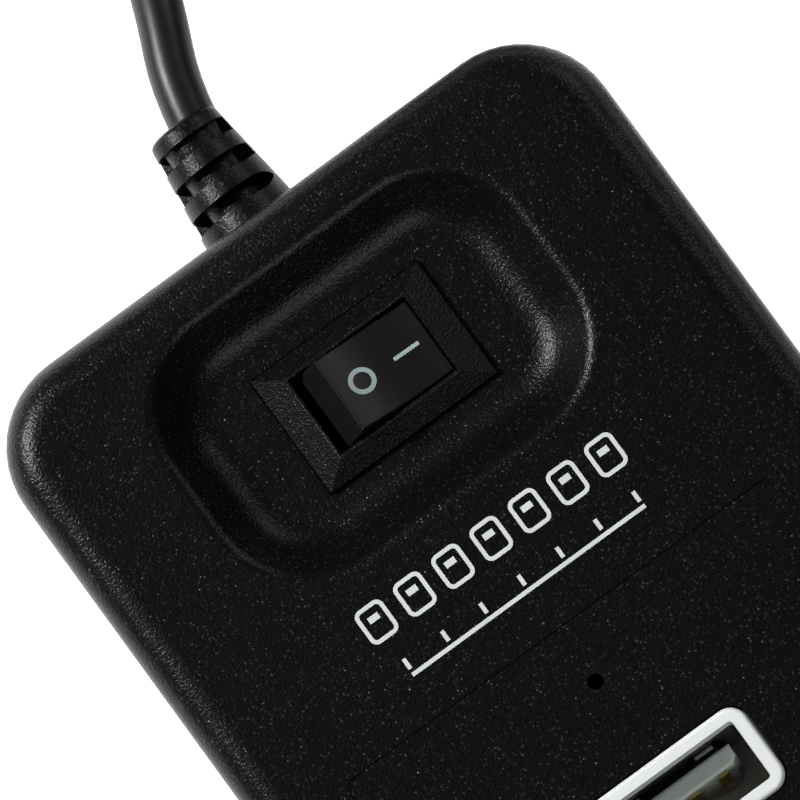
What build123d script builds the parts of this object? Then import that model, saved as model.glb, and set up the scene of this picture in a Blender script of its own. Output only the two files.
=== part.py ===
from build123d import *
from math import cos, pi, radians, sin, tan
import os

# A strip-shaped USB hub: casing in two shells, seven upright sockets on one board, a rocker switch
# in a soft-edged dish, a ribbed strain relief and a cord that ends in a plug.
# Millimetres. Origin under the middle of the casing, on the plane of the feet.
# +X across the row of sockets, +Y towards the cord, +Z up.

os.makedirs("parts", exist_ok=True)

# ---- Casing ----------------------------------------------------------------------------------
casing_width = 52.4
casing_height = 22.6  # without the feet
wall = 2.0
corner_radius = 7.5  # upright corners, in plan
top_edge_radius = 2.8
bottom_edge_radius = 1.4
foot_standout = 0.9  # the feet hold the casing this far off the table
parting_height = 10.7  # parting plane above the casing's underside
lip_height = 1.4
lip_thickness = 0.9
fit_gap = 0.1  # clearance between moulded pieces

# ---- Row of sockets --------------------------------------------------------------------------
port_count = 7
port_pitch = 22.0
first_port_setback = 53.7  # from the cord-end wall to the middle of the first socket
last_port_setback = 18.3  # from the middle of the last socket to the tail wall
casing_length = first_port_setback + (port_count - 1) * port_pitch + last_port_setback

# ---- Levels and lines that several pieces share ----------------------------------------------
casing_bottom = foot_standout
casing_top = casing_bottom + casing_height
floor_z = casing_bottom + wall
ceiling_z = casing_top - wall
parting_z = casing_bottom + parting_height
cord_end_y = casing_length / 2
tail_end_y = -casing_length / 2
port_ys = [cord_end_y - first_port_setback - port_pitch * i for i in range(port_count)]
between_ports = [y - port_pitch / 2 for y in port_ys[:-1]]

# ---- Shallow panel round the sockets ---------------------------------------------------------
panel_margin = 6.9  # from the casing's sides and tail
panel_setback = 38.2  # from the cord-end wall
panel_step = 0.1
panel_corner_radius = 1.0
panel_front_y = cord_end_y - panel_setback
panel_tail_y = tail_end_y + panel_margin

# ---- Dish and switch -------------------------------------------------------------------------
switch_setback = 14.9  # from the cord-end wall to the middle of the switch and its dish
dish_length = 32.6  # along X
dish_width = 22.8
dish_corner_radius = 8.2
dish_depth = 3.2
dish_slope = 45.0  # the dish's side, in degrees from level
dish_rim_radius = 1.3
dish_foot_radius = 3.4
switch_y = cord_end_y - switch_setback
dish_floor_z = casing_top - dish_depth

bezel_length = 15.0  # along X
bezel_width = 10.15
bezel_height = 1.7
bezel_rim_height = 0.4  # thickness at the bezel's outer edge
bezel_land = 0.2  # flat rim round the window
bezel_seat = 0.25  # the bezel sits this deep in the dish's floor
bezel_seat_gap = 0.13
window_length = 10.5
window_width = 6.72
housing_length = 13.0
housing_width = 8.5
housing_depth = 9.5  # below the dish's floor
housing_end_wall = 0.9
housing_floor = 1.5
bezel_top_z = dish_floor_z + bezel_height
housing_bottom_z = dish_floor_z - housing_depth

rocker_pivot_depth = 3.6  # below the bezel's top
rocker_end_reach = 4.15  # half length at the rocker's top edge
rocker_end_height = 4.42  # top edge above the pivot
rocker_middle_height = 3.8  # bottom of the saddle above the pivot
rocker_skirt_reach = 5.0
rocker_skirt_height = 1.4
rocker_skin = 0.9
rocker_side_gap = 0.21
rocker_tilt = 15.0  # each way from level; the switch rests with its +X end pressed
trunnion_radius = 0.8
trunnion_length = 0.6
running_gap = 0.05
plunger_radius = 0.9
plunger_reach = 5.0  # from the pivot to the tip of the plunger's nose
pivot_z = bezel_top_z - rocker_pivot_depth

arm_tilt = 8.0  # each way from level, opposite to the rocker
arm_reach = 4.2
arm_width = 3.2
arm_thickness = 0.3
arm_gap = 0.1  # between the plunger's nose and the arm
rivet_radius = 0.8
rivet_height = 0.35
terminal_spacing = 3.4
terminal_thickness = 0.8
terminal_width = 3.0
terminal_drop = 5.0  # below the housing
arm_pivot_z = pivot_z - plunger_reach - arm_gap - arm_thickness

# ---- Sockets ---------------------------------------------------------------------------------
socket_opening_length = 12.6
socket_opening_width = 5.15
frame_border = 1.13
frame_corner_radius = 1.45
frame_proud = 0.1  # above the casing's top
frame_gap = 0.15  # dark line round the frame
frame_flange = 0.9  # reach of the flange under the casing's top
frame_flange_thickness = 0.8
frame_lip_depth = 2.2  # from the frame's top to the mouth of the metal shell
frame_length = socket_opening_length + 2 * frame_border
frame_width = socket_opening_width + 2 * frame_border - 0.2
shell_thickness = 0.3
shell_length = 13.1
shell_width = 5.72
socket_height = 12.65  # from the board to the mouth of the metal shell
tongue_length = 10.3
tongue_thickness = 1.45
tongue_offset = 0.9  # towards the cord end from the middle of the socket
tongue_recess = 0.5  # tip below the mouth of the metal shell
insulator_base = 1.6
contact_xs = (-3.5, -1.0, 1.0, 3.5)
contact_width = 1.0
contact_thickness = 0.2
pin_width = 0.5
pin_length = 3.0  # below the top of the board

# ---- Board -----------------------------------------------------------------------------------
board_width = 32.0
board_thickness = 1.6
board_setback = 36.0  # from the cord-end wall
frame_top_z = casing_top + frame_proud
mouth_z = frame_top_z - frame_lip_depth
board_top_z = mouth_z - socket_height
board_bottom_z = board_top_z - board_thickness
board_front_y = cord_end_y - board_setback
board_tail_y = tail_end_y + wall + 0.6
pin_hole_radius = 0.45
tab_slot = (0.9, 2.0)

# ---- Fasteners and feet ----------------------------------------------------------------------
screw_inset = 5.7  # from the casing's side
screw_setback = 14.0  # from each end wall
screw_length = 12.0
screw_radius = 1.25
screw_head_radius = 2.4
screw_head_height = 1.5
screw_seat_height = 5.1  # above the casing's underside
boss_radius = 3.0
column_radius = 4.0
board_screw_x = 12.5
board_screw_radius = 1.1
board_screw_length = 4.6
standoff_radius = 2.6
foot_radius = 5.0
foot_recess = 0.5
foot_inset = 7.6
foot_setback = 26.0

# ---- Strain relief and cord ------------------------------------------------------------------
cord_diameter = 3.8
boot_x = -0.6
boot_length = 9.9
boot_base_radius = 4.0
boot_tip_wall = 0.9
boot_neck_radius = 3.0
boot_flange_radius = 4.5
boot_flange_thickness = 1.6
boot_slot_count = 3
boot_slot_width = 1.3
boot_slot_pitch = 2.6
boot_slot_start = 2.75  # first slot's middle, from the casing's wall
boot_sleeve = 0.4  # rubber left round the cord under the slots
boot_slot_turn = 15.0  # the slots face this far from upright, towards -X
boot_slot_reach = 3.0  # from the boot's middle to a slot's round end, at the +X side
boot_back_slot_length = 4.4
cord_radius = cord_diameter / 2
boot_tip_radius = cord_radius + boot_tip_wall


def point_list(*triples):
    """Points given as X, distance beyond the cord-end wall, and height, in the hub's frame."""
    return [(x, cord_end_y + d, z) for x, d, z in triples]


def bend_radii(points):
    """Largest arc for each corner: 0.45 of its shorter run over the tangent of half its turn."""
    radii = []
    for before, corner, after in zip(points, points[1:], points[2:]):
        run_in = Vector(*corner) - Vector(*before)
        run_out = Vector(*after) - Vector(*corner)
        turn = radians(run_in.get_angle(run_out))
        radii.append(0.45 * min(run_in.length, run_out.length) / tan(turn / 2))
    return radii


def rod(points, radius, radii):
    """A round rod along straight runs joined by arcs."""
    with BuildPart() as piece:
        with BuildLine() as route:
            FilletPolyline(*points, radius=radii)
        path = route.wire()
        with BuildSketch(Plane(origin=path @ 0, z_dir=path % 0)):
            Circle(radius)
        sweep(path=path)
    return piece.part, path.length


def save(shape, name):
    """Label a finished piece and write its file."""
    shape.label = name
    export_step(shape, f"parts/{name}.step")


# ---- Screw and foot places -------------------------------------------------------------------
screw_x = casing_width / 2 - screw_inset
screw_y = cord_end_y - screw_setback
screw_seat_z = casing_bottom + screw_seat_height
screw_places = [(sx * screw_x, y) for sx in (-1, 1) for y in (-screw_y, 0, screw_y)]
foot_x = casing_width / 2 - foot_inset
foot_y = cord_end_y - foot_setback
foot_places = [(sx * foot_x, sy * foot_y) for sx in (-1, 1) for sy in (-1, 1)]
board_screw_ys = (between_ports[0], between_ports[-1])
board_screw_places = [(sx * board_screw_x, y) for sx in (-1, 1) for y in board_screw_ys]
led_setback = 43.0
led_y = cord_end_y - led_setback
led_hole_radius = 0.6
led_guide_radius = 2.2
led_guide_wall = 0.8
led_guide_depth = 5.0

# ---- Power inlet in the tail wall ------------------------------------------------------------
inlet_width = 7.6
inlet_height = 6.6
inlet_length = 11.0
inlet_bore_radius = 1.95
inlet_bore_depth = 8.5
inlet_pin_radius = 0.65
inlet_pin_length = 7.5
inlet_centre_height = 3.6  # above the board
inlet_hole_radius = 2.4
inlet_z = board_top_z + inlet_centre_height
inlet_face_y = tail_end_y + wall + fit_gap


def casing_outline(inset):
    """The casing's outline in plan, a given distance in from its outside."""
    return RectangleRounded(casing_width - 2 * inset, casing_length - 2 * inset, corner_radius - inset)


# ---- Upper shell -----------------------------------------------------------------------------
with BuildPart() as upper_hollow:
    with BuildSketch(Plane.XY.offset(parting_z)):
        casing_outline(wall)
    extrude(amount=ceiling_z - parting_z)
    fillet(upper_hollow.faces().sort_by(Axis.Z)[-1].edges(), max(top_edge_radius - wall, 0.5))

# The dish's side rolls in over the rim, slopes down and runs out on to the floor. The outline at
# the rim is drawn inside by the length that the roll takes from the flat top.
dish_run = dish_rim_radius * tan(radians(dish_slope / 2))

with BuildPart() as top_shell:
    with BuildSketch(Plane.XY.offset(parting_z)):
        casing_outline(0)
    extrude(amount=casing_top - parting_z)
    fillet(top_shell.faces().sort_by(Axis.Z)[-1].edges(), top_edge_radius)
    add(upper_hollow.part, mode=Mode.SUBTRACT)
    with BuildSketch(Plane.XY.offset(dish_floor_z - wall)):
        with Locations((0, switch_y)):
            RectangleRounded(dish_length, dish_width, dish_corner_radius)
    extrude(amount=ceiling_z + wall / 2 - (dish_floor_z - wall))
    with BuildSketch(Plane.XY.offset(casing_top)):
        with Locations((0, switch_y)):
            RectangleRounded(
                dish_length - 2 * dish_run, dish_width - 2 * dish_run, dish_corner_radius - dish_run
            )
    extrude(amount=-dish_depth, taper=90 - dish_slope, mode=Mode.SUBTRACT)
    rim = top_shell.faces().sort_by(Axis.Z)[-1].inner_wires()[0]
    dish_floor = top_shell.faces().filter_by_position(Axis.Z, dish_floor_z - 0.01, dish_floor_z + 0.01)
    fillet(dish_floor.sort_by(SortBy.AREA)[-1].edges(), dish_foot_radius)
    fillet(rim.edges(), dish_rim_radius)
    # the panel round the sockets
    with BuildSketch(Plane.XY.offset(casing_top)):
        with Locations((0, (panel_front_y + panel_tail_y) / 2)):
            RectangleRounded(
                casing_width - 2 * panel_margin, panel_front_y - panel_tail_y, panel_corner_radius
            )
    extrude(amount=-panel_step, mode=Mode.SUBTRACT)
    # openings for the sockets' frames, the indicator and the switch
    with BuildSketch(Plane.XY.offset(casing_top)):
        with Locations(*[(0, y) for y in port_ys]):
            RectangleRounded(
                frame_length + 2 * frame_gap, frame_width + 2 * frame_gap, frame_corner_radius + frame_gap
            )
        with Locations((0, led_y)):
            Circle(led_hole_radius)
    extrude(amount=-wall, mode=Mode.SUBTRACT)
    with BuildSketch(Plane.XY.offset(dish_floor_z)):
        with Locations((0, switch_y)):
            Rectangle(bezel_length + 2 * bezel_seat_gap, bezel_width + 2 * bezel_seat_gap)
    extrude(amount=-bezel_seat, mode=Mode.SUBTRACT)
    with BuildSketch(Plane.XY.offset(dish_floor_z)):
        with Locations((0, switch_y)):
            Rectangle(housing_length + 2 * fit_gap, housing_width + 2 * fit_gap)
    extrude(amount=-wall, mode=Mode.SUBTRACT)
    # screw bosses and the light guard round the indicator
    with BuildSketch(Plane.XY.offset(parting_z)):
        with Locations(*screw_places):
            Circle(boss_radius)
    extrude(amount=ceiling_z + wall / 4 - parting_z)
    with BuildSketch(Plane.XY.offset(parting_z)):
        with Locations(*screw_places):
            Circle(screw_radius)
    extrude(amount=screw_seat_z + screw_length + 0.5 - parting_z, mode=Mode.SUBTRACT)
    with BuildSketch(Plane.XY.offset(ceiling_z - led_guide_depth)):
        with Locations((0, led_y)):
            Circle(led_guide_radius + led_guide_wall)
            Circle(led_guide_radius, mode=Mode.SUBTRACT)
    extrude(amount=led_guide_depth + wall / 4)
    # rebate that takes the lower shell's lip
    with BuildSketch(Plane.XY.offset(parting_z)):
        casing_outline(wall - lip_thickness - fit_gap)
        RectangleRounded(
            casing_width - 2 * wall, casing_length - 2 * wall, corner_radius - wall, mode=Mode.SUBTRACT
        )
    extrude(amount=lip_height + fit_gap, mode=Mode.SUBTRACT)
    # ways through the end walls for the strain relief and the power inlet
    with BuildSketch(Plane.XZ.offset(-cord_end_y - 1)):
        with Locations((boot_x, parting_z)):
            Circle(boot_neck_radius + running_gap)
    extrude(amount=wall + 2, mode=Mode.SUBTRACT)
    with BuildSketch(Plane.XZ.offset(-tail_end_y + 1)):
        with Locations((0, inlet_z)):
            Circle(inlet_hole_radius)
    extrude(amount=-wall - 2, mode=Mode.SUBTRACT)
save(top_shell.part, "top_shell")

# ---- Lower shell -----------------------------------------------------------------------------
with BuildPart() as bottom_shell:
    with BuildSketch(Plane.XY.offset(casing_bottom)):
        casing_outline(0)
    extrude(amount=parting_height)
    fillet(bottom_shell.faces().sort_by(Axis.Z)[0].edges(), bottom_edge_radius)
    with BuildSketch(Plane.XY.offset(floor_z)):
        casing_outline(wall)
    extrude(amount=parting_height, mode=Mode.SUBTRACT)
    with BuildSketch(Plane.XY.offset(parting_z - 0.5)):
        casing_outline(wall - lip_thickness)
        RectangleRounded(
            casing_width - 2 * wall, casing_length - 2 * wall, corner_radius - wall, mode=Mode.SUBTRACT
        )
    extrude(amount=lip_height + 0.5)
    # screw columns and board standoffs
    with BuildSketch(Plane.XY.offset(floor_z - wall / 4)):
        with Locations(*screw_places):
            Circle(column_radius)
    extrude(amount=parting_z - fit_gap - floor_z + wall / 4)
    with BuildSketch(Plane.XY.offset(floor_z - wall / 4)):
        with Locations(*board_screw_places):
            Circle(standoff_radius)
    extrude(amount=board_bottom_z - floor_z + wall / 4)
    with BuildSketch(Plane.XY.offset(casing_bottom)):
        with Locations(*screw_places):
            Circle(screw_head_radius + 3 * fit_gap)
    extrude(amount=screw_seat_height, mode=Mode.SUBTRACT)
    with BuildSketch(Plane.XY.offset(casing_bottom)):
        with Locations(*screw_places):
            Circle(screw_radius + fit_gap)
    extrude(amount=parting_height, mode=Mode.SUBTRACT)
    with BuildSketch(Plane.XY.offset(board_bottom_z)):
        with Locations(*board_screw_places):
            Circle(board_screw_radius)
    extrude(amount=board_thickness - board_screw_length, mode=Mode.SUBTRACT)
    with BuildSketch(Plane.XY.offset(casing_bottom)):
        with Locations(*foot_places):
            Circle(foot_radius + fit_gap)
    extrude(amount=foot_recess, mode=Mode.SUBTRACT)
    # the other half of the ways through the end walls
    with BuildSketch(Plane.XZ.offset(-cord_end_y - 1)):
        with Locations((boot_x, parting_z)):
            Circle(boot_neck_radius + running_gap)
    extrude(amount=wall + 2, mode=Mode.SUBTRACT)
    with BuildSketch(Plane.XZ.offset(-tail_end_y + 1)):
        with Locations((0, inlet_z)):
            Circle(inlet_hole_radius)
    extrude(amount=-wall - 2, mode=Mode.SUBTRACT)
save(bottom_shell.part, "bottom_shell")

# ---- Screws and feet -------------------------------------------------------------------------
with BuildPart() as case_screws:
    with BuildSketch(Plane.XY.offset(screw_seat_z - screw_head_height)):
        with Locations(*screw_places):
            Circle(screw_head_radius)
    extrude(amount=screw_head_height)
    fillet(case_screws.edges().group_by(Axis.Z)[0], screw_head_height / 3)
    with BuildSketch(Plane.XY.offset(screw_seat_z)):
        with Locations(*screw_places):
            Circle(screw_radius)
    extrude(amount=screw_length)
    chamfer(case_screws.edges().group_by(Axis.Z)[-1], screw_radius / 2)
    with BuildSketch(Plane.XY.offset(screw_seat_z - screw_head_height)):
        with Locations(*screw_places):
            Rectangle(screw_head_radius, screw_head_radius / 4)
            Rectangle(screw_head_radius / 4, screw_head_radius)
    extrude(amount=screw_head_height / 2, mode=Mode.SUBTRACT)
save(case_screws.part, "case_screws")

with BuildPart() as board_screws:
    with BuildSketch(Plane.XY.offset(board_top_z)):
        with Locations(*board_screw_places):
            Circle(2 * board_screw_radius)
    extrude(amount=board_screw_radius)
    fillet(board_screws.edges().group_by(Axis.Z)[-1], board_screw_radius / 3)
    with BuildSketch(Plane.XY.offset(board_top_z)):
        with Locations(*board_screw_places):
            Circle(board_screw_radius)
    extrude(amount=-board_screw_length)
save(board_screws.part, "board_screws")

with BuildPart() as rubber_feet:
    with BuildSketch():
        with Locations(*foot_places):
            Circle(foot_radius)
    extrude(amount=foot_standout + foot_recess)
    chamfer(rubber_feet.edges().group_by(Axis.Z)[0], foot_standout / 3)
save(rubber_feet.part, "rubber_feet")

# ---- Board and what is soldered to it --------------------------------------------------------
tongue_y = tongue_offset  # middle of the tongue, from the middle of its socket
tongue_face_y = tongue_y - tongue_thickness / 2  # the side that carries the contacts
tab_x = (shell_length - shell_thickness) / 2
pin_y = tongue_face_y - contact_thickness / 2
inlet_leg_y = inlet_face_y + inlet_length - 2.5
led_pitch = 2.54

with BuildPart() as circuit_board:
    with BuildSketch(Plane.XY.offset(board_bottom_z)):
        with Locations((0, (board_front_y + board_tail_y) / 2)):
            RectangleRounded(board_width, board_front_y - board_tail_y, 1.0)
        for y in port_ys:
            with Locations(*[(x, y + pin_y) for x in contact_xs]):
                Circle(pin_hole_radius, mode=Mode.SUBTRACT)
            with Locations((tab_x, y), (-tab_x, y)):
                Rectangle(*tab_slot, mode=Mode.SUBTRACT)
        with Locations(*board_screw_places):
            Circle(board_screw_radius + fit_gap, mode=Mode.SUBTRACT)
        with Locations((-led_pitch / 2, led_y), (led_pitch / 2, led_y)):
            Circle(pin_hole_radius, mode=Mode.SUBTRACT)
        with Locations((-2, inlet_leg_y), (2, inlet_leg_y)):
            Circle(pin_hole_radius + 0.2, mode=Mode.SUBTRACT)
    extrude(amount=board_thickness)
save(circuit_board.part, "circuit_board")

chip_side = 7.0
chip_height = 1.4
chip_lead_count = 7
chip_ys = (between_ports[1], between_ports[4])
with BuildPart() as hub_chips:
    for y in chip_ys:
        with BuildSketch(Plane.XY.offset(board_top_z + 0.2)):
            with Locations((0, y)):
                Rectangle(chip_side, chip_side)
        extrude(amount=chip_height)
        with BuildSketch(Plane.XY.offset(board_top_z)):
            with Locations((0, y)):
                with GridLocations(chip_side / (chip_lead_count + 1), 0, chip_lead_count, 1):
                    Rectangle(0.35, chip_side + 2)
                with GridLocations(0, chip_side / (chip_lead_count + 1), 1, chip_lead_count):
                    Rectangle(chip_side + 2, 0.35)
        extrude(amount=0.3)
save(hub_chips.part, "hub_chips")

crystal_x = 10.5
with BuildPart() as crystals:
    with BuildSketch(Plane.XY.offset(board_top_z)):
        with Locations(*[(crystal_x, y) for y in chip_ys]):
            SlotOverall(10.8, 4.4, rotation=90)
    extrude(amount=0.5)
    with BuildSketch(Plane.XY.offset(board_top_z)):
        with Locations(*[(crystal_x, y) for y in chip_ys]):
            SlotOverall(10.0, 3.6, rotation=90)
    extrude(amount=3.5)
save(crystals.part, "crystals")

capacitor_radius = 3.15
capacitor_height = 7.0
with BuildPart() as capacitors:
    with BuildSketch(Plane.XY.offset(board_top_z)):
        with Locations(*[(sx * 9.0, y) for sx in (-1, 1) for y in (between_ports[2], between_ports[3])]):
            Circle(capacitor_radius)
    extrude(amount=capacitor_height)
    fillet(capacitors.edges().group_by(Axis.Z)[-1], 0.5)
save(capacitors.part, "capacitors")

resistor_x = 9.5
with BuildPart() as resistors:
    with BuildSketch(Plane.XY.offset(board_top_z)):
        for y in chip_ys:
            with Locations((-resistor_x, y)):
                with GridLocations(3.0, 2.4, 2, 4):
                    Rectangle(1.6, 0.8)
    extrude(amount=0.5)
save(resistors.part, "resistors")

# ---- Indicator -------------------------------------------------------------------------------
led_radius = 1.5
led_length = 5.3
led_top_z = ceiling_z - 0.4
with BuildPart() as indicator_led:
    with BuildSketch(Plane.XY.offset(led_top_z - led_length)):
        with Locations((0, led_y)):
            Circle(led_radius)
    extrude(amount=led_length)
    fillet(indicator_led.edges().group_by(Axis.Z)[-1], led_radius * 0.95)
    with BuildSketch(Plane.XY.offset(led_top_z - led_length)):
        with Locations((0, led_y)):
            Circle(led_radius + 0.4)
    extrude(amount=1.0)
save(indicator_led.part, "indicator_led")

with BuildPart() as led_legs:
    with BuildSketch(Plane.XY.offset(board_top_z - pin_length)):
        with Locations((-led_pitch / 2, led_y), (led_pitch / 2, led_y)):
            Rectangle(pin_width, pin_width)
    extrude(amount=led_top_z - led_length - board_top_z + pin_length)
save(led_legs.part, "led_legs")


# ---- Sockets ---------------------------------------------------------------------------------
def port_frame(y):
    """White frame round a socket's mouth, held by a flange under the casing's top."""
    with BuildPart() as piece:
        with BuildSketch(Plane.XY.offset(ceiling_z)):
            with Locations((0, y)):
                RectangleRounded(frame_length, frame_width, frame_corner_radius)
        extrude(amount=frame_top_z - ceiling_z)
        fillet(piece.faces().sort_by(Axis.Z)[-1].edges(), 0.35)
        with BuildSketch(Plane.XY.offset(ceiling_z - frame_flange_thickness)):
            with Locations((0, y)):
                RectangleRounded(
                    frame_length + 2 * frame_flange, frame_width + 2 * frame_flange, frame_corner_radius
                )
        extrude(amount=frame_flange_thickness)
        with BuildSketch(Plane.XY.offset(ceiling_z - frame_flange_thickness)):
            with Locations((0, y)):
                RectangleRounded(socket_opening_length, socket_opening_width, 0.35)
        extrude(amount=frame_top_z - ceiling_z + frame_flange_thickness, mode=Mode.SUBTRACT)
        with BuildSketch(Plane.XY.offset(ceiling_z - frame_flange_thickness)):
            with Locations((0, y)):
                RectangleRounded(shell_length + fit_gap, shell_width + fit_gap, 0.6)
        extrude(amount=mouth_z - ceiling_z + frame_flange_thickness, mode=Mode.SUBTRACT)
    return piece.part


leaf_x = 3.3
leaf_width = 1.6
leaf_window = (2.3, 5.6)
leaf_inset = 0.35
leaf_low_z = mouth_z - 7.6


def port_shell(y):
    """Folded metal shell of a socket: a tube with sprung leaves and two tabs through the board."""
    with BuildPart() as piece:
        with BuildSketch(Plane.XY.offset(board_top_z)):
            with Locations((0, y)):
                RectangleRounded(shell_length, shell_width, 0.55)
                RectangleRounded(
                    shell_length - 2 * shell_thickness, shell_width - 2 * shell_thickness, 0.25,
                    mode=Mode.SUBTRACT,
                )
        extrude(amount=socket_height)
        with BuildSketch(Plane.XZ.offset(-y)):
            with Locations(*[(x, leaf_low_z + leaf_window[1] / 2) for x in (-leaf_x, leaf_x)]):
                Rectangle(*leaf_window)
        extrude(amount=shell_width, both=True, mode=Mode.SUBTRACT)
        # leaves bend in from the foot of each window
        for x in (-leaf_x, leaf_x):
            with BuildSketch(Plane.YZ.offset(x)):
                for side in (-1, 1):
                    outside = y + side * shell_width / 2
                    inward = -side * shell_thickness
                    lean = -side * leaf_inset
                    low = leaf_low_z - 0.2
                    high = leaf_low_z + leaf_window[1] - 0.6
                    with BuildLine():
                        Polyline(
                            (outside, low),
                            (outside + lean, high),
                            (outside + lean + inward, high),
                            (outside + inward, low),
                            close=True,
                        )
                    make_face()
            extrude(amount=leaf_width / 2, both=True)
        with BuildSketch(Plane.XY.offset(board_top_z)):
            with Locations((tab_x, y), (-tab_x, y)):
                Rectangle(shell_thickness, tab_slot[1] - 4 * fit_gap)
        extrude(amount=-pin_length)
    return piece.part


def port_tongue(y):
    """Moulded insulator: a block across the foot of the shell and the tongue that stands on it."""
    inside_length = shell_length - 2 * shell_thickness - fit_gap
    inside_width = shell_width - 2 * shell_thickness - fit_gap
    with BuildPart() as piece:
        with BuildSketch(Plane.XY.offset(board_top_z)):
            with Locations((0, y)):
                Rectangle(inside_length, inside_width)
        extrude(amount=insulator_base)
        with BuildSketch(Plane.XY.offset(board_top_z + insulator_base)):
            with Locations((0, y + tongue_y)):
                Rectangle(tongue_length, tongue_thickness)
        extrude(amount=mouth_z - tongue_recess - board_top_z - insulator_base)
        front = piece.faces().filter_by(Axis.Y).filter_by_position(
            Axis.Y, y + tongue_face_y - 0.01, y + tongue_face_y + 0.01
        )[0]
        chamfer(front.edges().filter_by(Axis.Z), 0.55)
        fillet(piece.faces().sort_by(Axis.Z)[-1].edges(), 0.3)
        # grooves that the contacts lie in
        with BuildSketch(Plane.XY.offset(board_top_z)):
            with Locations(*[(x, y + pin_y) for x in contact_xs]):
                Rectangle(contact_width + fit_gap, contact_thickness + fit_gap)
        extrude(amount=socket_height, mode=Mode.SUBTRACT)
    return piece.part


contact_top_z = mouth_z - tongue_recess - 1.2
contact_bow = 0.5


def port_contacts(y):
    """Four gold strips up the tongue: a pin through the board, a straight blade, a sprung bow."""
    back = y + pin_y + contact_thickness / 2
    front = y + pin_y - contact_thickness / 2
    bow_low = contact_top_z - 4.5
    bow_high = contact_top_z - 1.2
    with BuildPart() as piece:
        for x in contact_xs:
            with BuildSketch(Plane.YZ.offset(x)):
                with BuildLine():
                    Polyline(
                        (back, board_top_z),
                        (back, bow_low),
                        (back - contact_bow, bow_high),
                        (back, contact_top_z),
                        (front, contact_top_z),
                        (front - contact_bow, bow_high),
                        (front, bow_low),
                        (front, board_top_z),
                        close=True,
                    )
                make_face()
            extrude(amount=contact_width / 2, both=True)
        with BuildSketch(Plane.XY.offset(board_top_z)):
            with Locations(*[(x, y + pin_y) for x in contact_xs]):
                Rectangle(pin_width, contact_thickness)
        extrude(amount=-pin_length)
    return piece.part


for number, port_y in enumerate(port_ys, start=1):
    save(port_frame(port_y), f"port_frame_{number}")
    save(port_shell(port_y), f"port_shell_{number}")
    save(port_tongue(port_y), f"port_tongue_{number}")
    save(port_contacts(port_y), f"port_contacts_{number}")

# ---- Power inlet -----------------------------------------------------------------------------
inlet_plane = Plane(origin=(0, inlet_face_y, inlet_z), x_dir=(1, 0, 0), z_dir=(0, -1, 0))
with BuildPart() as inlet_body:
    with BuildSketch(Plane.XY.offset(board_top_z)):
        with Locations((0, inlet_face_y + inlet_length / 2)):
            Rectangle(inlet_width, inlet_length)
    extrude(amount=inlet_height)
    chamfer(inlet_body.faces().sort_by(Axis.Z)[-1].edges().filter_by(Axis.Y), 0.8)
    with BuildSketch(inlet_plane):
        Circle(inlet_bore_radius)
    extrude(amount=-inlet_bore_depth, mode=Mode.SUBTRACT)
    with BuildSketch(inlet_plane):
        Circle(inlet_pin_radius)
    extrude(amount=-inlet_length + 1, mode=Mode.SUBTRACT)
save(inlet_body.part, "inlet_body")

with BuildPart() as inlet_pins:
    with BuildSketch(inlet_plane.offset(-inlet_length + 1)):
        Circle(inlet_pin_radius)
    extrude(amount=inlet_pin_length + inlet_length - inlet_bore_depth - 1)
    fillet(inlet_pins.faces().sort_by(Axis.Y)[0].edges(), 0.25)
    with BuildSketch(Plane.XY.offset(board_top_z)):
        with Locations((-2, inlet_leg_y), (2, inlet_leg_y)):
            Rectangle(0.9, 0.3)
    extrude(amount=-pin_length)
save(inlet_pins.part, "inlet_pins")

# ---- Switch housing --------------------------------------------------------------------------
barb_reach = 0.7
barb_height = 3.0
chamber_length = housing_length - 2 * housing_end_wall
chamber_floor_z = housing_bottom_z + housing_floor
window_depth = bezel_height + 0.6
terminal_xs = (0, -terminal_spacing)

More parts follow.
